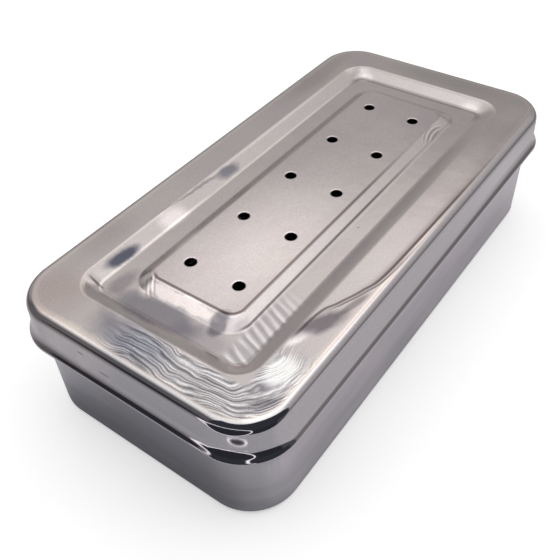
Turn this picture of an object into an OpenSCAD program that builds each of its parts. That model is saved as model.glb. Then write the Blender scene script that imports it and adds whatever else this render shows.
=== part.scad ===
// Drawn sheet-metal instrument box: an open tray and a perforated lid that lifts off.
// The origin is the middle of the footprint, on the surface that the tray stands on.
// X runs along the box, Y across it and Z up. Sizes are in millimetres.

/* [Sheet] */
// Thickness of the sheet that both pieces are drawn from
sheet_t = 0.7; // [0.5:0.05:0.9]

/* [Lid outside] */
// Length of the lid across its rolled shoulder
lid_l = 198.5; // [180:0.5:240]
// Width of the lid across its rolled shoulder
lid_w = 97.8; // [90:0.5:140]
// Height of the lid from the lower end of its rim to its flat border
lid_h = 14.7; // [12:0.1:20]
// Radius of the lid's upright corners at the shoulder
lid_corner_r = 16; // [13:0.5:20]
// Radius of the rolled shoulder between the border and the skirt
shoulder_r = 2.6; // [2.2:0.1:3.6]
// How far the skirt leans out between the shoulder and the flare
skirt_lean = 0.65; // [0.3:0.05:1]
// How far the rim stands out from the foot of the skirt
rim_w = 1.55; // [1.2:0.05:2]
// Height over which the skirt flares out to the rim
flare_h = 2.5; // [2:0.1:4]
// Height of the upright lip below the flare
lip_h = 0.8; // [0.6:0.1:1.6]

/* [Lid top] */
// Width of the flat border, from the lid's outline to the channel
border_w = 14.6; // [10:0.2:16]
// Depth of the channel floor below the border
channel_depth = 2.5; // [1.5:0.1:3.5]
// Width in plan of the slope from the border down to the channel floor
outer_slope_w = 5.2; // [4:0.1:5.8]
// Width of the flat channel floor
channel_w = 7.2; // [5:0.1:9]
// Width in plan of the slope from the channel floor up to the panel
inner_slope_w = 4.6; // [4:0.1:6]
// Height of the middle panel above the border
panel_rise = 0.2; // [0:0.1:1]
// Corner radius of the channel's outer edge
channel_r = 9; // [8.5:0.1:11]
// Corner radius of the middle panel
panel_r = 3.2; // [2:0.1:6]
// Radius of the soft bend between the border and the outer slope
border_bend_r = 5; // [2:0.1:6]
// Radius of the soft bend between the outer slope and the channel floor
floor_bend_r = 3.5; // [1.5:0.1:4.5]
// Radius of the crisper bends at the foot and the edge of the middle panel
panel_bend_r = 1.5; // [1.2:0.1:2.5]

/* [Vent holes] */
// Diameter of each vent hole
hole_d = 4; // [2:0.1:6]
// Vent holes along the panel
hole_columns = 5; // [2:1:8]
// Rows of vent holes across the panel
hole_rows = 2; // [2:1:3]
// Distance from the end of the panel to the nearest hole centres
hole_end_gap = 12; // [6:0.1:20]
// Distance from the side of the panel to the nearest hole centres
hole_side_gap = 7.5; // [5:0.1:11]

/* [Tray] */
// Height of the tray's cut edge above the surface it stands on
tray_h = 46.6; // [36:0.1:80]
// Radius of the bend between the tray's floor and its wall
floor_r = 2.8; // [2.5:0.1:8]
// How much narrower each side of the tray is at its floor than at its edge
tray_draft = 0.15; // [0:0.05:1]
// How much rounder the tray's upright corners are than the lid's inner corners
corner_ease = 2.3; // [0:0.1:4]

/* [Fit] */
// Sideways clearance between the tray's wall and the lid's skirt
lid_gap = 0.3; // [0.3:0.05:0.8]
// Clearance between the tray's cut edge and the inside of the lid's shoulder
seat_gap = 0.25; // [0.2:0.05:0.5]

/* [Hidden] */
$fn = 96;

// Segments in each rounded bend of a sheet section
bend_steps = 6;
// Bend radii at the upper and the lower end of the flare
flare_r = 5;
lip_r = 1;
// Flat strip that each bent section carries past its bends, half of it shared with the next flat
land = 0.8;
half_land = land / 2;
// Extra reach of a hole's cutter past the sheet
cut_through = 1;

// The cut edge of the tray touches the inside of the shoulder, which is an arc in section
shoulder_in_r = shoulder_r - sheet_t;
edge_across = max(0, shoulder_in_r - lid_gap);
edge_reach = shoulder_in_r - seat_gap;
edge_up = sqrt(max(0, edge_reach * edge_reach - edge_across * edge_across));

// Levels of the lid, worked out from the tray that carries it
border_z = tray_h - edge_up + shoulder_r;
floor_z = border_z - channel_depth;
panel_z = border_z + panel_rise;
rim_end_z = border_z - lid_h;
lip_top_z = rim_end_z + lip_h;
flare_top_z = lip_top_z + flare_h;

// Plan outlines as [half length, half width, corner radius]
lid_plan = [lid_l / 2, lid_w / 2, lid_corner_r];
channel_plan = [lid_l / 2 - border_w, lid_w / 2 - border_w, channel_r];
panel_foot_in = border_w + outer_slope_w + channel_w;
panel_foot_plan = [lid_l / 2 - panel_foot_in, lid_w / 2 - panel_foot_in, panel_r + inner_slope_w];
tray_in = sheet_t + lid_gap;
tray_plan = [lid_l / 2 - tray_in, lid_w / 2 - tray_in, lid_corner_r - tray_in + corner_ease];

// The vent holes are spread evenly between the end gaps and the side gaps of the panel
panel_half_l = panel_foot_plan[0] - inner_slope_w;
panel_half_w = panel_foot_plan[1] - inner_slope_w;
hole_half_l = panel_half_l - hole_end_gap;
hole_half_w = panel_half_w - hole_side_gap;

// How far each bend along the channel reaches past its corner
border_reach = bend_reach(border_bend_r, outer_slope_w, border_z - floor_z);
floor_reach = bend_reach(floor_bend_r, outer_slope_w, border_z - floor_z);
panel_reach = bend_reach(panel_bend_r, inner_slope_w, panel_z - floor_z);

// Length that a bend of radius r takes from each line it joins, for a slope that rises over a run
function bend_reach(r, run, rise) = r * tan(atan2(rise, run) / 2);

// A plan outline drawn in by d on every side
function inset(plan, d) = [plan[0] - d, plan[1] - d, plan[2] - d];

function unit(v) = v / norm(v);
function left_of(v) = [-v[1], v[0]];
function turned(v, a) = [v[0] * cos(a) - v[1] * sin(a), v[0] * sin(a) + v[1] * cos(a)];
function side_of(a, b, c) = sign(cross(b - a, c - b));
function backwards(p) = [for (k = [len(p) - 1:-1:0]) p[k]];

// The arc of radius r that rounds the corner b between a and c
function bend(a, b, c, r) =
    let (
        along = unit(b - a),
        away = unit(c - b),
        side = side_of(a, b, c),
        half_turn = acos(along * away) / 2,
        start = b - along * r * tan(half_turn),
        centre = start + left_of(along) * r * side
    )
    [for (k = [0:bend_steps]) centre + turned(start - centre, side * 2 * half_turn * k / bend_steps)];

// Line p with each inner corner rounded to its radius in r
function rounded(p, r) =
    let (last = len(p) - 1)
    [for (k = [0:last]) each (k == 0 || k == last) ? [p[k]] : bend(p[k - 1], p[k], p[k + 1], r[k])];

// Line p moved to its left by d
function beside(p, d) =
    let (last = len(p) - 1)
    [for (k = [0:last])
        let (
            before = left_of(unit(p[max(k, 1)] - p[max(k, 1) - 1])),
            after = left_of(unit(p[min(k, last - 1) + 1] - p[min(k, last - 1)])),
            ahead = k == 0 ? after : before,
            behind = k == last ? before : after
        )
        p[k] + d * (ahead + behind) / (1 + ahead * behind)];

// Bend radii of the line beside p
function beside_radii(p, r, d) =
    let (last = len(p) - 1)
    [for (k = [0:last]) (k == 0 || k == last) ? 0 : r[k] - d * side_of(p[k - 1], p[k], p[k + 1])];

// Section of sheet that lies between line p and the line d to its left
module sheet_section(p, r, d) {
    polygon(concat(rounded(p, r), backwards(rounded(beside(p, d), beside_radii(p, r, d)))));
}

// A section swept round a plan outline: its x is measured outward from the outline, its y is height
module swept(plan) {
    run_l = plan[0] - plan[2];
    run_w = plan[1] - plan[2];
    for (flip = [0, 1]) {
        mirror([0, flip, 0])
            translate([-run_l, 0, 0])
                rotate([90, 0, 90])
                    linear_extrude(2 * run_l)
                        translate([plan[1], 0])
                            children();
        mirror([flip, 0, 0])
            translate([0, run_w, 0])
                rotate([90, 0, 0])
                    linear_extrude(2 * run_w)
                        translate([plan[0], 0])
                            children();
    }
    for (flip_x = [0, 1], flip_y = [0, 1])
        mirror([flip_x, 0, 0])
            mirror([0, flip_y, 0])
                translate([run_l, run_w, 0])
                    rotate_extrude(angle = 90)
                        translate([plan[2], 0])
                            children();
}

module round_rect(plan) {
    run_l = plan[0] - plan[2];
    run_w = plan[1] - plan[2];
    square([2 * plan[0], 2 * run_w], center = true);
    square([2 * run_l, 2 * plan[1]], center = true);
    for (x = [-run_l, run_l], y = [-run_w, run_w])
        translate([x, y])
            circle(plan[2]);
}

// Flat sheet whose upper face is at height z
module flat(z, plan) {
    translate([0, 0, z - sheet_t])
        linear_extrude(sheet_t)
            round_rect(plan);
}

module skirt_section() {
    sheet_section(
        [
            [-shoulder_r - land, border_z],
            [0, border_z],
            [skirt_lean, flare_top_z],
            [skirt_lean + rim_w, lip_top_z],
            [skirt_lean + rim_w, rim_end_z]
        ],
        [0, shoulder_r, flare_r, lip_r, 0],
        -sheet_t
    );
}

// A sloping step between an inner flat and an outer flat, which ends at the plan outline.
// Each end is given as [height, bend radius, reach of the bend].
module step_section(slope_w, inner_end, outer_end) {
    sheet_section(
        [
            [-slope_w - inner_end[2] - land, inner_end[0]],
            [-slope_w, inner_end[0]],
            [0, outer_end[0]],
            [outer_end[2] + land, outer_end[0]]
        ],
        [0, inner_end[1], outer_end[1], 0],
        -sheet_t
    );
}

module vent_holes() {
    for (column = [0:hole_columns - 1], row = [0:hole_rows - 1])
        translate([
            hole_half_l * (2 * column / (hole_columns - 1) - 1),
            hole_half_w * (2 * row / (hole_rows - 1) - 1),
            panel_z - sheet_t - cut_through
        ])
            cylinder(d = hole_d, h = sheet_t + 2 * cut_through);
}

module lid() {
    color([0.74, 0.71, 0.70]) {
        swept(lid_plan)
            skirt_section();
        difference() {
            flat(border_z, inset(lid_plan, shoulder_r + half_land));
            translate([0, 0, floor_z])
                linear_extrude(border_z)
                    round_rect(inset(channel_plan, -border_reach - half_land));
        }
        swept(channel_plan)
            step_section(
                outer_slope_w,
                [floor_z, floor_bend_r, floor_reach],
                [border_z, border_bend_r, border_reach]
            );
        difference() {
            flat(floor_z, inset(channel_plan, outer_slope_w + floor_reach + half_land));
            linear_extrude(border_z)
                round_rect(inset(panel_foot_plan, -panel_reach - half_land));
        }
        swept(panel_foot_plan)
            step_section(
                inner_slope_w,
                [panel_z, panel_bend_r, panel_reach],
                [floor_z, panel_bend_r, panel_reach]
            );
        difference() {
            flat(panel_z, inset(panel_foot_plan, inner_slope_w + panel_reach + half_land));
            vent_holes();
        }
    }
}

module tray() {
    color([0.62, 0.61, 0.63]) {
        swept(tray_plan)
            sheet_section(
                [
                    [-tray_draft - floor_r - land, 0],
                    [-tray_draft, 0],
                    [0, tray_h]
                ],
                [0, floor_r, 0],
                sheet_t
            );
        flat(sheet_t, inset(tray_plan, tray_draft + floor_r + half_land));
    }
}

tray();
lid();
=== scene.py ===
import math

import bmesh
import bpy
from mathutils import Matrix, Vector
from mathutils.geometry import delaunay_2d_cdt


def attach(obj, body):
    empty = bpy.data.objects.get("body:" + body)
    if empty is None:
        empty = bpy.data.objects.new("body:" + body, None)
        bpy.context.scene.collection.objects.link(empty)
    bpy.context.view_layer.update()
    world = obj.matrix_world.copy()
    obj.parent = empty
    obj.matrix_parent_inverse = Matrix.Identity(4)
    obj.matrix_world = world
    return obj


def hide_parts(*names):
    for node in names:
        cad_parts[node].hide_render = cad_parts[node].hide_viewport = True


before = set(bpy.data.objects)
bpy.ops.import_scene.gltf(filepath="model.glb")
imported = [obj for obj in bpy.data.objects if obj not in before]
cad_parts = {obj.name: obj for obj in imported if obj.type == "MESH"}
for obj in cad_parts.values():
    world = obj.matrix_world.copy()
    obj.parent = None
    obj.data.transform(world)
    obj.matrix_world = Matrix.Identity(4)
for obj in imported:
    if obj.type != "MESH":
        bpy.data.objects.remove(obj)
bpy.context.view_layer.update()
scene = bpy.context.scene

# Sizes of the box in millimetres, the same as in the part's source
MM = 0.001
SHEET = 0.7
SHOULDER_L = 198.5
SHOULDER_W = 97.8
SHOULDER_CORNER_R = 16.0
SHOULDER_R = 2.6
LID_H = 14.7
LIP_H = 0.8
FLARE_H = 2.5
SKIRT_LEAN = 0.65
RIM_W = 1.55
BORDER_W = 14.6
OUTER_SLOPE_W = 5.2
CHANNEL_W = 7.2
INNER_SLOPE_W = 4.6
CHANNEL_DEPTH = 2.5
PANEL_RISE = 0.2
CHANNEL_R = 9.0
PANEL_R = 3.2
HOLE_R = 2.0
HOLE_COLUMNS = 5
HOLE_ROWS = 2
HOLE_END_GAP = 12.0
HOLE_SIDE_GAP = 7.5
TRAY_H = 46.6
TRAY_FLOOR_R = 2.8
TRAY_DRAFT = 0.15
TRAY_CORNER_EASE = 2.3
LID_GAP = 0.3
SEAT_GAP = 0.25

# Heights that follow from them: the tray's edge sits inside the lid's rolled shoulder
SHOULDER_IN_R = SHOULDER_R - SHEET
EDGE_UP = math.sqrt((SHOULDER_IN_R - SEAT_GAP) ** 2 - (SHOULDER_IN_R - LID_GAP) ** 2)
BORDER_Z = TRAY_H - EDGE_UP + SHOULDER_R
CHANNEL_Z = BORDER_Z - CHANNEL_DEPTH
PANEL_Z = BORDER_Z + PANEL_RISE
RIM_END_Z = BORDER_Z - LID_H
LIP_Z = RIM_END_Z + LIP_H
FLARE_Z = LIP_Z + FLARE_H
RIM_OUT = SKIRT_LEAN + RIM_W


def inset(plan, distance, radius):
    """The plan outline at a distance inside another: half length, half width and corner radius."""
    return (plan[0] - distance, plan[1] - distance, radius)


LID = (SHOULDER_L / 2, SHOULDER_W / 2, SHOULDER_CORNER_R)
CHANNEL = inset(LID, BORDER_W, CHANNEL_R)
PANEL_FOOT = inset(CHANNEL, OUTER_SLOPE_W + CHANNEL_W, PANEL_R + INNER_SLOPE_W)
PANEL = inset(PANEL_FOOT, INNER_SLOPE_W, PANEL_R)
TRAY = inset(LID, SHEET + LID_GAP, SHOULDER_CORNER_R - SHEET - LID_GAP + TRAY_CORNER_EASE)


def spread(half, count):
    """Evenly spaced places from -half to half."""
    return [half * (2 * k / (count - 1) - 1) for k in range(count)]


HOLES = [(x, y) for x in spread(PANEL[0] - HOLE_END_GAP, HOLE_COLUMNS)
         for y in spread(PANEL[1] - HOLE_SIDE_GAP, HOLE_ROWS)]

# The shoulder rolls over in two stages: where the border turns down, and where the skirt begins
ROLL_IN = 1.73
ROLL_OUT = 0.2
ROLL_DROP = ROLL_IN + ROLL_OUT
FLARE_R = 6.5
BORDER_BEND_R = 5.0
CHANNEL_BEND_R = 3.5
PANEL_BEND_R = 1.5

# Corners of each sheet section: distance out from its plan outline, height, bend radius and bend steps.
# The first and the last corner are ends, which lie on the flats or at the cut edge
SKIRT = (
    (-4.4, BORDER_Z, 0, 0),
    (-ROLL_IN, BORDER_Z, 2.8, 10),
    (ROLL_OUT, BORDER_Z - ROLL_DROP, 4.0, 12),
    (SKIRT_LEAN, FLARE_Z, FLARE_R, 16),
    (RIM_OUT, LIP_Z, 1.0, 10),
    (RIM_OUT, RIM_END_Z, 0, 0),
)
OUTER_SLOPE = (
    (-OUTER_SLOPE_W - 1.6, CHANNEL_Z, 0, 0),
    (-OUTER_SLOPE_W, CHANNEL_Z, CHANNEL_BEND_R, 12),
    (0, BORDER_Z, BORDER_BEND_R, 14),
    (2.0, BORDER_Z, 0, 0),
)
INNER_SLOPE = (
    (-INNER_SLOPE_W - 1.2, PANEL_Z, 0, 0),
    (-INNER_SLOPE_W, PANEL_Z, PANEL_BEND_R, 8),
    (0, CHANNEL_Z, PANEL_BEND_R, 8),
    (1.2, CHANNEL_Z, 0, 0),
)
TRAY_WALL = (
    (-TRAY_DRAFT - TRAY_FLOOR_R - 1.2, 0, 0, 0),
    (-TRAY_DRAFT, 0, TRAY_FLOOR_R, 14),
    (0, TRAY_H, 0, 0),
)

# Easing of the cut edges and of the vent holes, and how far a hole's rings reach out on the flats
EDGE_R = 0.22
EDGE_STEPS = 4
HOLE_ROLL_W = 0.5
HOLE_ROLL_DEPTH = 0.36
HOLE_EDGE_R = 0.12
HOLE_REACH_TOP = 0.75
HOLE_REACH_UNDER = 0.6

# Points on the flats, on a ring's corners and straight runs, and round a hole
NEAR_BEND = 0.12
FLAT_STEP = 1.6
CORNER_STEPS = 24
LONG_STEPS = 36
SHORT_STEPS = 16
HOLE_STEPS = 48

# Distance between the points of the webs that fill the flats
PANEL_WEB = 1.7
PANEL_UNDER_WEB = 2.4
TRAY_UNDER_WEB = 4.0
TRAY_FLOOR_WEB = 3.0


# Sheet sections
def step_to(a, b):
    return b[0] - a[0], b[1] - a[1]


def unit(v):
    length = math.hypot(*v)
    return v[0] / length, v[1] / length


def turn_side(a, b, c):
    """1 where the path a, b, c turns left, and -1 where it turns right."""
    u, w = step_to(a, b), step_to(b, c)
    return math.copysign(1, u[0] * w[1] - u[1] * w[0])


def bend(a, b, c, radius, steps):
    """Points of the arc that rounds the corner b of the path a, b, c."""
    u, w = unit(step_to(a, b)), unit(step_to(b, c))
    side = turn_side(a, b, c)
    half = math.acos(max(-1, min(1, u[0] * w[0] + u[1] * w[1]))) / 2
    back = radius * math.tan(half)
    start = (b[0] - u[0] * back, b[1] - u[1] * back)
    middle = (start[0] - u[1] * radius * side, start[1] + u[0] * radius * side)
    dx, dy = step_to(middle, start)
    arc = []
    for k in range(steps + 1):
        cos, sin = math.cos(side * 2 * half * k / steps), math.sin(side * 2 * half * k / steps)
        arc.append((middle[0] + dx * cos - dy * sin, middle[1] + dx * sin + dy * cos))
    return arc


def beside(path, gap):
    """The path moved by gap to the left of its direction, with mitred corners."""
    normals = []
    for a, b in zip(path, path[1:]):
        u = unit(step_to(a, b))
        normals.append((-u[1], u[0]))
    out = []
    for k, point in enumerate(path):
        before, after = normals[max(k, 1) - 1], normals[min(k, len(normals) - 1)]
        mitre = gap / (1 + before[0] * after[0] + before[1] * after[1])
        out.append((point[0] + mitre * (before[0] + after[0]), point[1] + mitre * (before[1] + after[1])))
    return out


def add_flat(line, end):
    """Adds points on the flat from the line's last point to end: one close to each and some between."""
    start = line[-1]
    length = math.dist(start, end)
    if length < NEAR_BEND:
        return
    near = min(NEAR_BEND, length / 4) / length
    count = round(length / FLAT_STEP)
    for t in sorted({near, 1 - near} | {k / count for k in range(1, count)}):
        if near <= t <= 1 - near:
            line.append((start[0] + (end[0] - start[0]) * t, start[1] + (end[1] - start[1]) * t))


def section(corners, gap=0.0):
    """The line through the corners, moved sideways by gap, with rounded bends and points on its flats."""
    path = [corner[:2] for corner in corners]
    moved = beside(path, gap)
    line = [moved[0]]
    for k in range(1, len(path) - 1):
        radius, steps = corners[k][2:]
        side = turn_side(*path[k - 1:k + 2])
        arc = bend(*moved[k - 1:k + 2], radius - gap * side, steps)
        add_flat(line, arc[0])
        line += arc
    add_flat(line, moved[-1])
    line.append(moved[-1])
    return line


def open_end(line, end_z):
    """The section with its last point moved up or down to end_z, and no other point close to that."""
    out, z = line[-1]
    return [p for p in line[:-1] if abs(p[1] - z) > 1.4 * EDGE_R] + [(out, end_z)]


# Rings round a plan outline
def ring(half_l, half_w, radius):
    """Points of a rounded rectangle: each corner in turn, and the straight run after it."""
    a, b = half_l - radius, half_w - radius
    points = []
    for x, y, start, along, run, steps in (
        (a, b, 0, (-1, 0), 2 * a, LONG_STEPS),
        (-a, b, 90, (0, -1), 2 * b, SHORT_STEPS),
        (-a, -b, 180, (1, 0), 2 * a, LONG_STEPS),
        (a, -b, 270, (0, 1), 2 * b, SHORT_STEPS),
    ):
        turns = [math.radians(start + 90 * k / CORNER_STEPS) for k in range(CORNER_STEPS + 1)]
        arc = [(x + radius * math.cos(t), y + radius * math.sin(t)) for t in turns]
        end_x, end_y = arc.pop()
        points += arc
        points += [(end_x + along[0] * run * k / steps, end_y + along[1] * run * k / steps)
                   for k in range(steps)]
    return points


def rings_of(plan, line):
    """A ring for each point of a section: half length, half width, corner radius and height."""
    return [(plan[0] + out, plan[1] + out, plan[2] + out, z) for out, z in line]


def between(a, b, count):
    """The rings that cut the way from a to b in count parts."""
    return [tuple(p + (q - p) * k / count for p, q in zip(a, b)) for k in range(1, count)]


class Shell:
    """A mesh that is put together from rings of points."""

    def __init__(self):
        self.points, self.faces = [], []

    def add(self, points):
        first = len(self.points)
        self.points += points
        return list(range(first, len(self.points)))

    def loop(self, half_l, half_w, radius, z):
        return self.add([(x, y, z) for x, y in ring(half_l, half_w, radius)])

    def circle(self, centre, radius, z):
        turns = [2 * math.pi * k / HOLE_STEPS for k in range(HOLE_STEPS)]
        return self.add([(centre[0] + radius * math.cos(t), centre[1] + radius * math.sin(t), z)
                         for t in turns])

    def join(self, rings):
        """A band of faces from each ring to the next."""
        for a, b in zip(rings, rings[1:]):
            for k in range(len(a)):
                j = (k + 1) % len(a)
                self.faces.append((a[k], a[j], b[j], b[k]))

    def flat(self, ids):
        return [Vector(self.points[i][:2]) for i in ids]

    def fill(self, outer, holes, spacing):
        """Flat web of triangles inside the outer ring and outside the rings of the holes."""
        z = self.points[outer[0]][2]
        ids, edges, rounds = [], [], []
        for loop in [outer] + holes:
            edges += [(len(ids) + k, len(ids) + (k + 1) % len(loop)) for k in range(len(loop))]
            ids += loop
        for hole in holes:
            rim = self.flat(hole)
            middle = sum(rim, Vector((0, 0))) / len(rim)
            rounds.append((middle, (rim[0] - middle).length))
        places = self.flat(ids)
        half_l, half_w = max(p.x for p in places), max(p.y for p in places)
        for x in spread(half_l, max(2, round(2 * half_l / spacing)) + 1)[1:-1]:
            for y in spread(half_w, max(2, round(2 * half_w / spacing)) + 1)[1:-1]:
                place = Vector((x, y))
                if all((place - middle).length >= radius + 0.45 * spacing for middle, radius in rounds):
                    places.append(place)
                    ids.append(None)
        corners, _, triangles, sources = delaunay_2d_cdt(places, edges, [], 0, 1e-6, True)[:4]
        known = []
        for corner, source in zip(corners, sources):
            same = ids[source[0]]
            known.append(self.add([(corner.x, corner.y, z)])[0] if same is None else same)
        for triangle in triangles:
            centre = sum((corners[k] for k in triangle), Vector((0, 0))) / len(triangle)
            if all((centre - middle).length >= radius * 0.999 for middle, radius in rounds):
                self.faces.append(tuple(known[k] for k in triangle))

    def make(self, name):
        mesh = bpy.data.meshes.new(name)
        mesh.from_pydata([(x * MM, y * MM, z * MM) for x, y, z in self.points], [], self.faces)
        mesh.update()
        work = bmesh.new()
        work.from_mesh(mesh)
        bmesh.ops.recalc_face_normals(work, faces=work.faces[:])
        work.to_mesh(mesh)
        work.free()
        mesh.polygons.foreach_set("use_smooth", [True] * len(mesh.polygons))
        piece = bpy.data.objects.new(name, mesh)
        scene.collection.objects.link(piece)
        return piece


def cut_edge(shell, plan, outer, inner, end_z, up):
    """Rings that ease a cut edge from the wall's outer side to its inner side. The wall stands above the
    edge where up is 1, and under it where up is -1."""
    turns = [math.radians(90 * k / EDGE_STEPS) for k in range(1, EDGE_STEPS + 1)]
    ease = [(EDGE_R * (1 - math.cos(t)), end_z + up * EDGE_R * (1 - math.sin(t))) for t in turns]
    line = [(outer - d, z) for d, z in ease] + [(inner + d, z) for d, z in ease[::-1]]
    return [shell.loop(*r) for r in rings_of(plan, line)]


# The lid
def lid_rings(gap):
    """Rings over the lid from its rim to the edge of the flat panel, gap off the sheet's upper side."""
    skirt = rings_of(LID, open_end(section(SKIRT, gap), RIM_END_Z + EDGE_R)[::-1])
    outer = rings_of(CHANNEL, section(OUTER_SLOPE, gap)[::-1])
    inner = rings_of(PANEL_FOOT, section(INNER_SLOPE, gap)[::-1])
    return skirt + between(skirt[-1], outer[0], 6) + outer + between(outer[-1], inner[0], 4) + inner


def hole_line():
    """Radius and depth down a vent hole: a rolled upper rim, a straight bore and an eased lower edge."""
    line = [(HOLE_R + HOLE_REACH_TOP, 0)]
    for t in (math.radians(15 * k) for k in range(7)):
        line.append((HOLE_R + HOLE_ROLL_W * (1 - math.sin(t)), -HOLE_ROLL_DEPTH * (1 - math.cos(t))))
    for t in (math.radians(30 * k) for k in range(4)):
        line.append((HOLE_R + HOLE_EDGE_R * (1 - math.cos(t)), -SHEET + HOLE_EDGE_R * (1 - math.sin(t))))
    return line + [(HOLE_R + HOLE_REACH_UNDER, -SHEET)]


def make_lid():
    shell = Shell()
    upper = [shell.loop(*r) for r in lid_rings(0)]
    lower = [shell.loop(*r) for r in lid_rings(-SHEET)]
    edge = cut_edge(shell, LID, RIM_OUT, RIM_OUT - SHEET, RIM_END_Z, 1)
    shell.join(upper)
    shell.join(lower)
    shell.join([upper[0]] + edge + [lower[0]])
    holes = [[shell.circle(centre, radius, PANEL_Z + z) for radius, z in hole_line()] for centre in HOLES]
    for hole in holes:
        shell.join(hole)
    shell.fill(upper[-1], [hole[0] for hole in holes], PANEL_WEB)
    shell.fill(lower[-1], [hole[-1] for hole in holes], PANEL_UNDER_WEB)
    return shell.make("lid_shell")


# The tray
def make_tray():
    shell = Shell()
    lines = [open_end(section(TRAY_WALL, gap), TRAY_H - EDGE_R) for gap in (0, SHEET)]
    outer, inner = ([shell.loop(*r) for r in rings_of(TRAY, line)] for line in lines)
    edge = cut_edge(shell, TRAY, lines[0][-1][0], lines[1][-1][0], TRAY_H, -1)
    shell.join(outer)
    shell.join(inner)
    shell.join([outer[-1]] + edge + [inner[-1]])
    shell.fill(outer[0], [], TRAY_UNDER_WEB)
    shell.fill(inner[0], [], TRAY_FLOOR_WEB)
    return shell.make("tray_shell")


lid = make_lid()
tray = make_tray()
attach(lid, "lid")
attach(tray, "tray")
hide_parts("lid")
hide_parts("tray")


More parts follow.
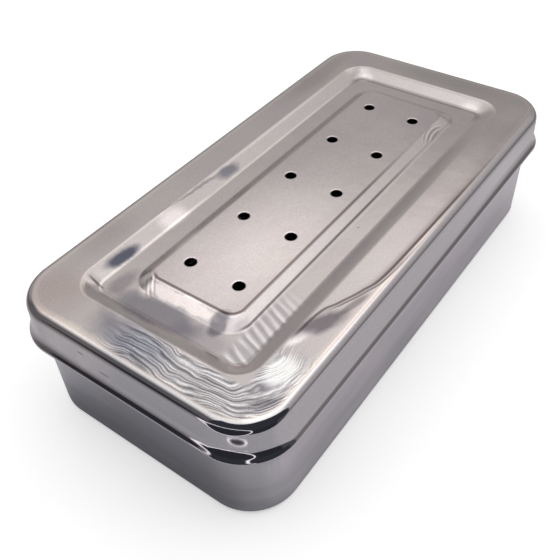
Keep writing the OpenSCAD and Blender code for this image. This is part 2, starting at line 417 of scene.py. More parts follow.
# Shader nodes
class Nodes:
    """Short calls for making and linking the shader nodes of a material or a world."""

    def __init__(self, owner):
        owner.use_nodes = True
        self.tree = owner.node_tree
        self.tree.nodes.clear()

    def put(self, socket, value):
        if isinstance(value, bpy.types.NodeSocket):
            self.tree.links.new(value, socket)
        else:
            socket.default_value = value

    def node(self, kind, inputs=(), **settings):
        made = self.tree.nodes.new(kind)
        for name, value in settings.items():
            setattr(made, name, value)
        for key, value in dict(inputs).items():
            self.put(made.inputs[key], value)
        return made

    def math(self, operation, *values):
        return self.node("ShaderNodeMath", enumerate(values), operation=operation).outputs[0]

    def plus(self, a, b):
        return self.math("ADD", a, b)

    def minus(self, a, b):
        return self.math("SUBTRACT", a, b)

    def times(self, *values):
        out = values[0]
        for value in values[1:]:
            out = self.math("MULTIPLY", out, value)
        return out

    def length(self, a, b):
        return self.math("SQRT", self.plus(self.times(a, a), self.times(b, b)))

    def vector(self, operation, a, b=None):
        inputs = {0: a} if b is None else {0: a, 1: b}
        return self.node("ShaderNodeVectorMath", inputs, operation=operation).outputs[0]

    def dot(self, a, b):
        return self.node("ShaderNodeVectorMath", {0: a, 1: b}, operation="DOT_PRODUCT").outputs["Value"]

    def size(self, a):
        return self.node("ShaderNodeVectorMath", {0: a}, operation="LENGTH").outputs["Value"]

    def parts(self, a):
        return self.node("ShaderNodeSeparateXYZ", {0: a}).outputs

    def smooth(self, value, low, high, at_low=0.0, at_high=1.0, kind="SMOOTHSTEP"):
        """at_low below low, at_high above high, and a soft change between; low may be the larger one."""
        if low > high:
            low, high, at_low, at_high = high, low, at_high, at_low
        inputs = {0: value, 1: low, 2: high, 3: at_low, 4: at_high}
        return self.node("ShaderNodeMapRange", inputs, interpolation_type=kind).outputs[0]

    def band(self, value, centre, half, soft):
        """1 within half of centre, falling to 0 over soft."""
        return self.smooth(self.math("ABSOLUTE", self.minus(value, centre)), half + soft, half)

    def ramp(self, value, stops):
        """A colour read from stops of (place, grey or colour); only two stops are eased."""
        made = self.node("ShaderNodeValToRGB", {0: value})
        ramp = made.color_ramp
        ramp.interpolation = "EASE" if len(stops) < 3 else "LINEAR"
        while len(ramp.elements) < len(stops):
            ramp.elements.new(0.5)
        for element, (place, colour) in zip(ramp.elements, stops):
            element.position = place
            element.color = (*(colour if isinstance(colour, tuple) else (colour,) * 3), 1)
        return made.outputs[0]

    def mix(self, factor, a, b, blend="MIX"):
        a, b = ((*c, 1) if isinstance(c, tuple) else c for c in (a, b))
        inputs = {0: factor, 6: a, 7: b}
        return self.node("ShaderNodeMix", inputs, data_type="RGBA", blend_type=blend).outputs[2]

    def tint(self, colour, mask, factor):
        """Colour times factor where mask is 1."""
        return self.mix(mask, colour, factor, "MULTIPLY")

    def paint(self, colour, mask, shades):
        """Colour times the colour of another texture where mask is 1."""
        return self.mix(mask, colour, self.vector("MULTIPLY", colour, shades))

    def noise(self, vector, scale, detail=2.0, rough=0.5, stretch=(1, 1, 1)):
        """Noise from 0 to 1 with about one lump in 1 / scale millimetres, drawn out by stretch."""
        place = self.vector("MULTIPLY", vector, tuple(scale * k for k in stretch))
        inputs = {"Vector": place, "Scale": 1.0, "Detail": detail, "Roughness": rough}
        return self.node("ShaderNodeTexNoise", inputs).outputs[0]

    def turned(self, place, centre, turn, radii=(1, 1)):
        """The place seen from centre, turned by an angle in degrees and measured in radii."""
        inputs = {0: place, 1: (*centre, 0), 2: (0, 0, math.radians(turn)), 3: (*radii, 1e4)}
        return self.node("ShaderNodeMapping", inputs, vector_type="TEXTURE").outputs[0]

    def oval(self, place, centre, radii, turn=0.0, core=0.5):
        """Soft oval mask round centre, 1 inside core times its radii and 0 outside them."""
        return self.smooth(self.size(self.turned(place, centre, turn, radii)), 1.0, core)

    def curve(self, x, points):
        """A smooth line through given points (x, y), read at x."""
        start, end = points[0][0], points[-1][0]
        low = min(y for _, y in points)
        span = max(y for _, y in points) - low
        place = self.node("ShaderNodeMath", {0: self.minus(x, start), 1: end - start},
                          operation="DIVIDE", use_clamp=True).outputs[0]
        made = self.node("ShaderNodeFloatCurve", {"Value": place})
        line = made.mapping.curves[0]
        while len(line.points) < len(points):
            line.points.new(0.5, 0.5)
        for point, (px, py) in zip(line.points, points):
            point.location = ((px - start) / (end - start), (py - low) / span)
            point.handle_type = "AUTO_CLAMPED"
        made.mapping.update()
        return self.plus(self.times(made.outputs[0], span), low)

    def steel(self, colour, rough, height):
        """The finished metal surface, with bump from a height in millimetres."""
        bump = self.node("ShaderNodeBump", {"Height": height, "Strength": 1.0, "Distance": MM}).outputs[0]
        inputs = {"Base Color": colour, "Metallic": 1.0, "Roughness": rough, "Normal": bump}
        shader = self.node("ShaderNodeBsdfPrincipled", inputs)
        self.node("ShaderNodeOutputMaterial", {"Surface": shader.outputs[0]})


def outward(t, x, y, plan):
    """Distance out from a rounded plan outline, less than 0 inside it."""
    half_l, half_w, radius = plan
    across = t.minus(t.math("ABSOLUTE", x), half_l - radius)
    up = t.minus(t.math("ABSOLUTE", y), half_w - radius)
    corner = t.length(t.math("MAXIMUM", across, 0.0), t.math("MAXIMUM", up, 0.0))
    side = t.math("MINIMUM", t.math("MAXIMUM", across, up), 0.0)
    return t.minus(t.plus(corner, side), radius)


def drawn_lines(t, across, along, pitch, seed):
    """Irregular fine lines that run along one coordinate and sit pitch apart across the other, 0 to 1."""
    place = {0: t.math("DIVIDE", across, 1.7 * pitch), 1: t.times(along, 0.035), 2: float(seed)}
    vector = t.node("ShaderNodeCombineXYZ", place).outputs[0]
    inputs = {"Vector": vector, "Scale": 1.0, "Detail": 2.0, "Roughness": 0.6}
    slow = t.node("ShaderNodeTexNoise", inputs).outputs[0]
    beat = t.math("SINE", t.plus(t.times(across, 2 * math.pi / pitch), t.times(slow, 9.0)))
    return t.smooth(t.plus(t.times(beat, 0.27), t.times(t.minus(slow, 0.5), 1.5)), -0.42, 0.5)


class Place:
    """Where a point lies on its piece, in millimetres, as nodes that its paint is laid out by."""

    def __init__(self, t):
        own = t.node("ShaderNodeTexCoord").outputs["Object"]
        self.p = t.node("ShaderNodeVectorMath", {0: own, "Scale": 1 / MM}, operation="SCALE").outputs[0]
        self.x, self.y, self.z = t.parts(self.p)


# Lighter and darker patches painted on the lid as reflections: centre, radii, turn, core, tint
PAINTED_LID_REFLECTIONS = (
    ((-88, 36), (16, 16), 0, 0.1, (0.88, 0.82, 0.80)),
    ((-98, 22), (4, 26), 0, 0.2, (1.3, 1.27, 1.22)),
    ((-62, 42), (22, 9), 0, 0.1, (0.87, 0.86, 0.86)),
    ((-8, -40), (45, 10), 0, 0.1, (1.1, 1.09, 1.09)),
    ((-90.5, 3), (8, 21), 0, 0.3, (0.58, 0.61, 0.67)),
    ((-77, 6), (6.5, 20), 0, 0.55, (0.52, 0.53, 0.58)),
    ((-77, -12), (5.5, 14), 0, 0.4, (0.8, 0.8, 0.84)),
    ((-70.6, -13.4), (5.5, 3.8), -8, 0.55, (0.42, 0.42, 0.45)),
    ((-65, 31.6), (10, 3.1), -3, 0.4, (0.17, 0.19, 0.25)),
    ((-40, 31), (9, 4.5), -4, 0.3, (1.5, 1.5, 1.5)),
    ((-9, 31.8), (8, 3.0), -3, 0.35, (0.42, 0.44, 0.51)),
    ((-26, 34.2), (21, 0.9), -4, 0.2, (0.55, 0.53, 0.55)),
    ((79.5, 30.5), (4.5, 2.4), 10, 0.2, (0.72, 0.71, 0.71)),
    ((-70.5, 15.5), (5.5, 3.4), 30, 0.3, (1.45, 1.43, 1.4)),
    ((-88, -42.3), (8, 3.2), -42, 0.3, (0.58, 0.58, 0.6)),
    ((-67, -19.6), (5, 2.0), 0, 0.3, (0.78, 0.78, 0.8)),
    ((-9, -24.2), (0.4, 0.4), 0, 0.3, (0.35, 0.3, 0.3)),
    ((10, -31.2), (75, 2.6), 0, 0.3, (0.93, 0.90, 0.92)),
    ((80, 25), (3.6, 3.4), 0, 0.3, (1.35, 1.35, 1.35)),
    ((79.5, -23.5), (3.6, 6), 0, 0.3, (1.3, 1.3, 1.3)),
    ((92, -4), (9, 36), 0, 0.2, (0.86, 0.86, 0.87)),
    ((66, 42), (36, 7), 0, 0.2, (0.83, 0.82, 0.82)),
    ((35, -41), (34, 8), 0, 0.2, (1.14, 1.13, 1.12)),
    ((80, -41), (16, 8), 0, 0.2, (1.1, 1.09, 1.1)),
    ((-73, 24), (9, 4), 0, 0.3, (0.66, 0.65, 0.68)),
    ((-87.5, 15), (3.6, 9), -28, 0.2, (0.76, 0.77, 0.8)),
    ((-69.9, 1), (2.4, 17), 0, 0.6, (1.5, 1.46, 1.42)),
    ((-62.5, -37.4), (7.5, 2.3), -18, 0.2, (1.6, 1.66, 1.66)),
)

# The fold on the near long side, from the channel's corner to the edge
FOLD = (
    (-62, -35.6), (-53, -36.2), (-45, -39), (-36, -42.4),
    (-27, -44.6), (-10, -45.3), (20, -45.9), (60, -46.4),
)

# Outline of the thin painted shade line at the top of the panel's slope, set just inside the panel's own
PANEL_LINE = (PANEL[0] - 0.75, PANEL[1] - 0.1, 4.4)

# Creases at two corners of the panel, drawn in painted light and shade: centre, radii, turn, pitch, seed
CREASES = (((-69.6, 14.4), (5.2, 3.2), 35, 1.5, 21), ((54, -19.2), (9.5, 2.8), 4, 1.7, 33))

# Scratches on the near short side of the skirt: place along it, height, length
SCRATCHES = ((15.6, 43.4, 4.2), (6.5, 40.0, 5.8))
SCRATCH_HALF_W = 0.34

# The drawing lines swing round this place at the near corner
SWING_X = -70.0
SWING_Y = -25.0


class LidPlace(Place):
    """A place on the lid, with its distances from the shoulder and the channel, and a ragged copy of it."""

    def __init__(self, t):
        super().__init__(t)
        self.out = outward(t, self.x, self.y, LID)
        self.slope = outward(t, self.x, self.y, CHANNEL)
        inputs = {"Vector": self.p, "Scale": 0.12, "Detail": 3.0, "Roughness": 0.6}
        shift = t.vector("SUBTRACT", t.node("ShaderNodeTexNoise", inputs).outputs[1], (0.5, 0.5, 0.5))
        self.ragged = t.vector("ADD", self.p, t.vector("MULTIPLY", shift, (5.0, 3.0, 0.0)))


def lid_ground(t, at, top, cloud):
    """Warm clouded flats, finely speckled, over a skirt tinted cooler as a painted reflection; painted
    reflection patches, a painted highlight where the panel is domed and another along the shoulder.
    """
    colour = t.mix(t.smooth(cloud, 0.36, 0.64), (0.56, 0.515, 0.52), (0.57, 0.535, 0.525))
    # The skirt's cooler tint is a painted reflection of the bluer surroundings it faces
    colour = t.mix(top, (0.545, 0.527, 0.545), colour)
    speck = t.ramp(t.noise(at.p, 1.6, 3, 0.7), [(0.3, 0.945), (0.7, 1.055)])
    colour = t.vector("MULTIPLY", colour, speck)
    # Painted reflections: lighter and darker patches laid over the lid
    for centre, radii, turn, core, factor in PAINTED_LID_REFLECTIONS:
        colour = t.tint(colour, t.oval(at.ragged, centre, radii, turn, core), factor)
    # Painted highlight over the middle of the panel, where it is domed
    dome_highlight = t.times(t.oval(at.p, (-42, -2), (66, 34), 0, 0.0), t.smooth(at.z, PANEL_Z - 0.35, PANEL_Z - 0.1))
    colour = t.tint(colour, dome_highlight, (1.56, 1.54, 1.54))
    # Painted highlight in a band along the flat top where the shoulder's roll starts
    return t.tint(colour, t.band(at.out, -3.0, 0.5, 1.0), (1.12, 1.10, 1.07))


def fold(t, at, colour):
    """Painted shade along the fold: its two dark lines, the shade beside them and its dark lens, and a
    painted highlight on the lit edge under it.
    """
    below = t.minus(t.curve(at.x, FOLD), at.y)
    fade = t.smooth(at.x, 62, 10)
    line = t.times(t.band(below, 0.0, 0.25, 0.5), fade, t.smooth(at.x, -66, -58))
    above = t.times(t.smooth(below, -2.4, -0.2), t.smooth(below, 0.6, 0.1), fade, t.smooth(at.x, -44, -24))
    second = t.times(t.band(below, 1.15, 0.1, 0.5), t.smooth(at.x, -52, -44), t.smooth(at.x, 0, -24))
    lit = t.times(t.band(at.out, -2.4, 0.35, 0.6), t.smooth(at.y, -40, -43), t.smooth(at.x, 40, -30))
    # Painted shade lines and lens, and a painted highlight, along the fold
    for mask, factor in (
        (line, (0.36, 0.34, 0.35)),
        (above, (0.66, 0.62, 0.62)),
        (second, (0.40, 0.37, 0.38)),
        (t.oval(at.ragged, (-54.5, -39.4), (11.5, 4.3), -24, 0.4), (0.36, 0.355, 0.385)),
        (t.oval(at.p, (-43, -43.2), (9, 1.6), -14, 0.4), (0.55, 0.53, 0.54)),
        (lit, (1.4, 1.38, 1.36)),
    ):
        colour = t.tint(colour, mask, factor)
    return colour


def channel_rims(t, at, colour):
    """Painted highlights along the outer slope's edges, painted shade on its foot at the far end, and a
    notch drawn as a painted dark line beside a painted highlight.
    """
    upper, lower = t.band(at.slope, 0.5, 0.1, 0.5), t.band(at.slope, -4.9, 0.15, 0.6)
    edges = t.math("MAXIMUM", t.times(upper, 0.7), lower)
    long_side = t.times(t.smooth(at.y, 18, 22), t.smooth(at.x, -20, -40))
    sides = t.math("MAXIMUM", t.smooth(at.x, -66, -76), long_side)
    foot = t.times(t.band(at.slope, -5.9, 0.7, 0.8), t.smooth(at.x, 70, 76), t.smooth(at.out, -30, -20))
    # Painted highlights, painted shade and the notch's painted dark and light lines on the channel
    for mask, factor in (
        (t.times(edges, sides), (1.45, 1.42, 1.4)),
        (foot, (0.72, 0.71, 0.71)),
        (t.oval(at.p, (-78.0, 30), (0.75, 4.6), -4, 0.3), (0.35, 0.35, 0.37)),
        (t.oval(at.p, (-79.6, 29.5), (1.5, 4.6), -4, 0.3), (1.45, 1.45, 1.45)),
    ):
        colour = t.tint(colour, mask, factor)
    return colour


def panel_lines(t, at, colour):
    """Creases at two corners of the panel drawn as painted light and dark stripes, and thin painted shade
    lines where its slope starts and ends.
    """
    # Crease stripes of painted light and shade at two corners of the panel
    for centre, radii, turn, pitch, seed in CREASES:
        along, across, _ = t.parts(t.turned(at.p, centre, turn))
        folds = drawn_lines(t, t.plus(across, t.times(along, along, 0.03)), along, pitch, seed)
        shades = t.ramp(folds, [(0.0, (0.62, 0.6, 0.6)), (0.5, 1.0), (1.0, 1.35)])
        colour = t.paint(colour, t.oval(at.p, centre, radii, turn, 0.4), shades)
    # Thin painted shade lines at the top and the foot of the panel's slope
    top = t.band(outward(t, at.x, at.y, PANEL_LINE), 0.1, 0.2, 0.6)
    foot = t.band(outward(t, at.x, at.y, PANEL_FOOT), -0.8, 0.12, 0.5)
    near = t.times(t.smooth(at.y, 12, -14), t.smooth(at.x, 48, 0, 0.2, 1.0))
    short = t.times(t.smooth(at.x, -64, -67), t.smooth(at.y, 19, 15))
    colour = t.tint(colour, t.times(top, t.math("MAXIMUM", near, short)), (0.34, 0.30, 0.30))
    return t.tint(colour, t.times(foot, near, t.smooth(at.y, -19, -21)), (0.30, 0.27, 0.28))


def scratches(t, at, colour):
    for y, z, length in SCRATCHES:
        inputs = {0: t.minus(at.y, y), 1: t.minus(at.z, z), 2: 0.0}
        place = t.node("ShaderNodeCombineXYZ", inputs).outputs[0]
        mark = t.oval(place, (0, 0), (length / 2, SCRATCH_HALF_W), 0, 0.4)
        colour = t.tint(colour, t.times(mark, t.smooth(at.x, -90, -98)), (0.25, 0.23, 0.24))
    return colour


def near_corner(t, at, colour):
    """Drawing lines that swing round the near corner, whose silver and dark streaks are partly the steel's
    own and partly painted reflection, with a painted highlight patch and painted sparkle, and crescents of
    painted reflection across the channel floor there.
    Gives the colour, the lines and where they are."""
    slow = t.times(t.minus(t.noise(at.p, 0.05, 1, 0.5, (1, 0.7, 1)), 0.5), 9.0)
    quick = t.times(t.minus(t.noise(at.p, 0.15, 1, 0.5, (1, 0.8, 1)), 0.5), 3.2)
    bendy = t.plus(slow, quick)
    past_x = t.math("MAXIMUM", t.minus(SWING_X, at.x), 0.0)
    past_y = t.math("MAXIMUM", t.minus(SWING_Y, at.y), 0.0)
    swing = t.length(past_x, past_y)
    across = t.plus(t.minus(SWING_X, swing), bendy)
    along = t.minus(at.y, at.x)
    wide = drawn_lines(t, across, along, 1.9, 3)
    narrow = drawn_lines(t, t.plus(across, t.times(along, 0.035)), along, 0.85, 5)
    bundles = t.smooth(t.noise(at.p, 0.16, 1, 0.5, (1, 0.6, 1)), 0.42, 0.58)
    lines = t.mix(bundles, narrow, wide)

    # A painted highlight patch at the near corner
    corner_highlight = t.oval(at.ragged, (-75.5, -40), (8.5, 5.2), -14, 0.4)
    where = t.times(t.smooth(at.y, 14, 0), t.smooth(at.x, -62, -78), t.smooth(at.out, -14.6, -12.8),
                    t.smooth(at.out, -2.0, -3.4), t.smooth(corner_highlight, 0, 1, 1.0, 0.35))
    # The drawing lines' silver and dark streaks, partly painted reflection, with painted sparkle over them
    shades = t.ramp(lines, [(0.0, (0.36, 0.38, 0.42)), (0.4, (0.82, 0.85, 0.90)),
                            (0.75, (1.15, 1.2, 1.26)), (1.0, (1.62, 1.68, 1.76))])
    sparkle = t.ramp(t.noise(at.p, 2.6, 2, 0.7), [(0.3, 0.7), (0.5, 1.0), (0.7, 1.35)])
    colour = t.paint(colour, where, shades)
    colour = t.paint(colour, t.times(where, 0.6), sparkle)
    colour = t.tint(colour, corner_highlight, (1.62, 1.74, 1.74))

    # Crescents of painted reflection across the channel floor at the near corner
    lean = t.minus(at.x, t.times(t.plus(at.y, 26.0), 0.42))
    arcs = drawn_lines(t, t.plus(lean, t.times(bendy, 0.25)), at.y, 3.1, 8)
    there = t.times(t.smooth(at.x, -44, -60), t.smooth(at.y, -20, -23.5),
                    t.smooth(at.y, -30.2, -28.6), t.smooth(at.x, -80.0, -78.4))
    shades = t.ramp(arcs, [(0.0, (0.72, 0.74, 0.78)), (0.5, (1.0, 1.02, 1.06)), (1.0, (1.5, 1.55, 1.6))])
    return t.paint(colour, there, shades), lines, where


def lid_steel():
    mat = bpy.data.materials.new("lid_steel")
    t = Nodes(mat)
    at = LidPlace(t)
    top = t.smooth(at.out, -1.2, -2.8)
    cloud = t.noise(at.p, 0.045, 3)
    colour = lid_ground(t, at, top, cloud)
    colour = fold(t, at, colour)
    colour = channel_rims(t, at, colour)
    colour = panel_lines(t, at, colour)
    colour = scratches(t, at, colour)
    colour, lines, where = near_corner(t, at, colour)
    rough = t.plus(t.smooth(top, 0, 1, 0.05, 0.15), t.times(t.minus(cloud, 0.5), 0.08))
    grain = t.plus(t.times(t.noise(at.p, 2.4, 3, 0.6), 0.0018), t.times(t.noise(at.p, 0.9, 2, 0.6), 0.0022))
    waves = t.plus(t.times(t.noise(at.p, 0.11, 2), 0.06), t.times(lines, where, 0.008))
    t.steel(colour, rough, t.times(t.plus(grain, waves), t.smooth(top, 0, 1, 0.15, 1.0)))
    return mat


def tray_steel():
    """Clouded and faintly banded walls, with painted highlights on the near walls and the near corner, and
    upright draw marks at the corners near the top.
    """
    mat = bpy.data.materials.new("tray_steel")
    t = Nodes(mat)
    at = Place(t)
    cloud = t.noise(at.p, 0.04, 3)
    bands = t.noise(at.p, 0.02, 3, 0.5, (1, 1, 6))
    bands = t.ramp(bands, [(0.35, (0.93, 0.93, 0.935)), (0.65, (1.07, 1.07, 1.075))])
    colour = t.mix(t.smooth(cloud, 0.36, 0.64), (0.535, 0.52, 0.54), (0.565, 0.54, 0.55))
    colour = t.vector("MULTIPLY", colour, bands)
    # Painted highlights on the upper parts of the near short and near long walls, and at the near corner
    near_short_highlight = t.times(t.smooth(at.x, -97, -98), t.smooth(at.z, 8, 24), t.smooth(at.y, 4, 20))
    near_long_highlight = t.times(t.smooth(at.y, -46.5, -47.2), t.smooth(at.z, 10, 22))
    colour = t.tint(colour, near_short_highlight, (1.22, 1.23, 1.24))
    colour = t.tint(colour, t.oval(at.p, (-93, -43), (9, 9), 0, 0.3), (1.16, 1.16, 1.15))
    colour = t.tint(colour, near_long_highlight, (1.09, 1.06, 1.09))

    marks = t.noise(at.p, 1.5, 3, 0.7, (1, 1, 0.05))
    faint = t.noise(at.p, 1.3, 2, 0.6, (0.05, 0.05, 1))
    far_out = t.times(t.math("ABSOLUTE", at.x), t.math("ABSOLUTE", at.y))
    corner = t.times(t.smooth(far_out, 3950, 4150), t.smooth(at.z, 16, 30))
    shades = t.ramp(marks, [(0.3, (0.68, 0.68, 0.7)), (0.5, 1.0), (0.7, 1.4)])
    colour = t.paint(colour, t.times(corner, 0.9), shades)
    grain = t.plus(t.times(marks, t.smooth(corner, 0, 1, 0.002, 0.012)), t.times(faint, 0.0015))
    t.steel(colour, t.plus(0.07, t.times(cloud, 0.08)), grain)
    return mat


lid.data.materials.append(lid_steel())
tray.data.materials.append(tray_steel())

# The studio that the steel shows. Azimuths turn left from straight ahead of the camera, in degrees
AHEAD = Vector((0.7912, 0.6115, 0))
LEFT = Vector((-0.6115, 0.7912, 0))
WHITE = (1, 1, 1)
DARK = (0.045, 0.048, 0.06)
LIT_FRAME = (1.5, 1.52, 1.5)
SKY_LEFT = (
    (-10, (.15, .15, .16)), (5, (.17, .165, .17)), (25, (.15, .145, .15)),
    (33, (.26, .255, .26)), (38, (.48, .47, .47)), (46, (1.0, .99, .99)),
    (52, (1.25, 1.24, 1.24)), (70, (1.35, 1.35, 1.35)), (90, (1.45, 1.45, 1.45)),
)
SKY_AHEAD = (
    (-10, (.38, .37, .37)), (0, (.45, .44, .43)), (26, (.50, .485, .48)),
    (35, (.66, .64, .63)), (45, (.86, .84, .82)), (57, (.95, .93, .91)),
    (66, (1.1, 1.09, 1.08)), (76, (1.35, 1.35, 1.34)), (90, (1.45, 1.45, 1.45)),
)
SKY_RIGHT = (
    (-25, (.37, .34, .355)), (-5, (.37, .34, .355)), (6, (.46, .435, .445)),
    (18, (.62, .60, .59)), (30, (.68, .66, .65)), (37, (.85, .83, .82)),
    (43, (1.25, 1.23, 1.22)), (50, (1.55, 1.54, 1.53)), (90, (1.45, 1.45, 1.45)),
)
# The dark side behind the camera: its middle, and azimuth and elevation of each opening with its radii
DARK_MIDDLE = 184
NEAR_OPENING = (154.5, -18)
NEAR_OPENING_RADII = (37.4, 28.8)
NEAR_FRAME_RADII = (40.0, 31.5)
FAR_OPENING = (205, 14)
FAR_OPENING_RADII = (53.0, 47.0)
# A square dark area beside the far opening: its azimuths and its elevations
FAR_BOX = (119, 200, 5, 60)
# Soft round areas: azimuth, elevation, radius of the core, outer radius and colour
DARK_PATCH = (109, -1, 8, 9.5, DARK)
CEILING_PATCH = (-16, 50, 3, 17, (1.15, 1.12, 1.09))
WALL_PATCH = (-30, 24, 4, 20, (0.42, 0.405, 0.405))


def aim(azimuth, elevation):
    """Unit vector at an azimuth, and an angle above the horizon."""
    a, e = math.radians(azimuth), math.radians(elevation)
    return (AHEAD * math.cos(a) + LEFT * math.sin(a)) * math.cos(e) + Vector((0, 0, math.sin(e)))


def patch(t, way, sky, azimuth, elevation, inner, outer, colour):
    """The sky with a soft round area, from its colour inside inner degrees to nothing at outer degrees."""
    near = t.dot(way, aim(azimuth, elevation))
    return t.mix(t.smooth(near, math.cos(math.radians(outer)), math.cos(math.radians(inner))), sky, colour)


def dark_side(t, way, sky):
    """The sky with the dark openings: a far one, and a near one with a lit frame."""
    turn = t.math("ARCTAN2", t.dot(way, aim(DARK_MIDDLE + 90, 0)), t.dot(way, aim(DARK_MIDDLE, 0)))
    azimuth = t.plus(t.times(turn, 180 / math.pi), DARK_MIDDLE)
    elevation = t.times(t.math("ARCSINE", t.parts(way)[2]), 180 / math.pi)

    def opening(centre, radii, soft):
        across = t.math("DIVIDE", t.minus(azimuth, centre[0]), radii[0])
        up = t.math("DIVIDE", t.minus(elevation, centre[1]), radii[1])
        return t.smooth(t.length(across, up), 1 + soft, 1 - soft)

    def box(left, right, low, high):
        sides = t.times(t.smooth(azimuth, left - 3, left + 3), t.smooth(azimuth, right + 2, right - 2))
        return t.times(sides, t.smooth(elevation, low - 2, low + 2), t.smooth(elevation, high + 3, high - 3))

    sky = patch(t, way, sky, *DARK_PATCH)
    far = t.math("MAXIMUM", opening(FAR_OPENING, FAR_OPENING_RADII, 0.03), box(*FAR_BOX))
    sky = t.mix(far, sky, DARK)
    sky = t.mix(opening(NEAR_OPENING, NEAR_FRAME_RADII, 0.02), sky, LIT_FRAME)
    return t.mix(opening(NEAR_OPENING, NEAR_OPENING_RADII, 0.02), sky, DARK)


def by_elevation(t, height, stops):
    """A colour by the height of a unit vector, from stops of (elevation, colour)."""
    places = [((math.sin(math.radians(elevation)) + 1) / 2, colour) for elevation, colour in stops]
    return t.ramp(t.smooth(height, -1, 1, kind="LINEAR"), places)


# The floor under the box, in metres. The camera sees it white with the box's shadow. The steel sees it
# as it lies in the studio: pale near the box, in shade beside the near short side and lit beside the
# near long side. The openings' image on it is laid out from one viewpoint
FLOOR_REACH = 0.6
FLOOR_TONES = (
    (0.0, (0.8, 0.79, 0.80)), (0.22, (0.78, 0.77, 0.78)),
    (0.45, (0.3, 0.28, 0.28)), (1.0, (0.2, 0.19, 0.19)),
)
FLOOR_SHADE = (0.43, 0.44, 0.475)
CAMERA_FLOOR = (0.82, 0.82, 0.82)
CAMERA_GLOW = 0.5
OPENING_VIEWPOINT = (-0.099, -0.03, 0.046)
# A dark arc with a glowing rim painted on the floor, which the skirt's near corner shows as a small ringed
# oval of painted reflection
ARC_CENTRE = (-0.08325, -0.0329)
ARC_REACH = 0.0509
ARC_HALF_W = 0.0018
ARC_TURN = 22
ARC_HALF_TURN = 16


def arc_mark(t, x, y):
    """Distance from the arc's middle, 1 at its outline."""
    back_x, back_y = t.minus(ARC_CENTRE[0], x), t.minus(ARC_CENTRE[1], y)
    across = t.math("DIVIDE", t.minus(t.length(back_x, back_y), ARC_REACH), ARC_HALF_W)
    turn = t.minus(t.math("ARCTAN2", back_y, back_x), math.radians(ARC_TURN))
    return t.length(across, t.math("DIVIDE", turn, math.radians(ARC_HALF_TURN)))


def floor_paint():
    mat = bpy.data.materials.new("floor_paint")
    t = Nodes(mat)
    seen = t.node("ShaderNodeLightPath").outputs["Is Camera Ray"]
    place = t.node("ShaderNodeNewGeometry").outputs["Position"]
    x, y, _ = t.parts(place)
    way = t.vector("NORMALIZE", t.vector("SUBTRACT", place, OPENING_VIEWPOINT))
    studio = t.node("ShaderNodeSeparateColor", {0: dark_side(t, way, (0.5, 0.5, 0.5))}).outputs[0]
    arc = arc_mark(t, x, y)

    reach = t.times(t.size(place), t.smooth(y, -0.16, -0.06, 0.75, 1.0))
    colour = t.ramp(t.math("DIVIDE", reach, FLOOR_REACH), FLOOR_TONES)
    colour = t.tint(colour, t.smooth(x, -0.06, -0.10), (0.98, 0.985, 1.02))
    shade = t.times(t.smooth(x, -0.125, -0.099), t.smooth(y, -0.07, -0.03), t.smooth(y, 0.06, 0.035))
    colour = t.mix(shade, colour, FLOOR_SHADE)
    colour = t.mix(t.smooth(studio, 0.45, 0.1), colour, DARK)
    colour = t.mix(t.smooth(arc, 0.74, 0.62), colour, DARK)

    # Painted light: for every ray but the camera's, the floor glows beside the near long side, in the
    # openings' lit frames and along the arc's rim
    along_side = t.times(t.smooth(y, -0.046, -0.050), t.smooth(x, -0.10, -0.08))
    beside_long = t.times(along_side, t.smooth(y, -0.10, -0.05, 0.07, 0.15))
    frames = t.plus(t.times(t.smooth(studio, 0.55, 1.3), 1.1), t.times(t.band(arc, 0.9, 0.07, 0.1), 0.9))
    hidden = t.times(t.minus(1.0, seen), t.plus(frames, beside_long))
    strength = t.plus(t.times(seen, CAMERA_GLOW), hidden)
    glow = {"Color": t.mix(seen, (1, 0.94, 1), WHITE), "Strength": strength}
    matt = t.node("ShaderNodeBsdfDiffuse", {"Color": t.mix(seen, colour, CAMERA_FLOOR)}).outputs[0]
    both = t.node("ShaderNodeAddShader", {0: matt, 1: t.node("ShaderNodeEmission", glow).outputs[0]})
    t.node("ShaderNodeOutputMaterial", {"Surface": both.outputs[0]})
    return mat


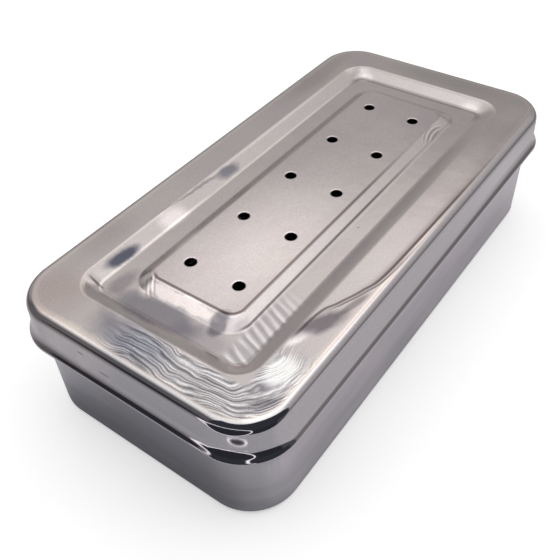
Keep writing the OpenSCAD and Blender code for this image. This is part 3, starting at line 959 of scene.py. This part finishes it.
def studio_world():
    """White for the camera; for every other ray a soft studio, pale overhead and greyer to the sides."""
    world = bpy.data.worlds.new("studio")
    t = Nodes(world)
    way = t.node("ShaderNodeTexCoord").outputs["Generated"]
    height = t.parts(way)[2]
    level = t.math("SQRT", t.math("MAXIMUM", t.minus(1.0, t.times(height, height)), 0.0001))
    ahead = t.math("DIVIDE", t.dot(way, AHEAD), level)
    left = t.math("DIVIDE", t.dot(way, LEFT), level)
    skies = [by_elevation(t, height, stops) for stops in (SKY_LEFT, SKY_AHEAD, SKY_RIGHT)]
    left_sky, ahead_sky, right_sky = skies
    sky = t.mix(t.smooth(left, -0.3, 0.3), right_sky, left_sky)
    sky = t.mix(t.smooth(ahead, 0.37, 0.67), sky, ahead_sky)
    sky = patch(t, way, sky, *CEILING_PATCH)
    sky = patch(t, way, sky, *WALL_PATCH)
    sky = dark_side(t, way, sky)
    seen = t.node("ShaderNodeLightPath").outputs["Is Camera Ray"]
    light = t.node("ShaderNodeBackground", {"Color": t.mix(seen, sky, WHITE), "Strength": 1.0})
    t.node("ShaderNodeOutputWorld", {"Surface": light.outputs[0]})
    return world


bpy.ops.mesh.primitive_plane_add(size=8, location=(0, 0, -0.0001))
floor = bpy.context.object
floor.name = "floor"
floor.data.materials.append(floor_paint())
scene.world = studio_world()

# The camera, as fitted to the photograph: focal length and sensor in millimetres, place in metres
FOCAL = 46.505
SENSOR = 36
CAMERA_PLACE = (-0.17386, -0.11720, 0.20411)
CAMERA_RIGHT = Vector((0.5830, -0.8116, -0.0362))
CAMERA_UP = Vector((0.5795, 0.3842, 0.7187))
CAMERA_FORWARD = Vector((0.5694, 0.4401, -0.6943))

lens = bpy.data.cameras.new("camera")
lens.sensor_fit = "HORIZONTAL"
lens.sensor_width = SENSOR
lens.lens = FOCAL
lens.clip_start = 0.01
camera = bpy.data.objects.new("camera", lens)
scene.collection.objects.link(camera)
turned = Matrix((CAMERA_RIGHT, CAMERA_UP, -CAMERA_FORWARD)).transposed().to_4x4()
camera.matrix_world = Matrix.Translation(CAMERA_PLACE) @ turned
scene.camera = camera
scene.view_settings.view_transform = "Standard"
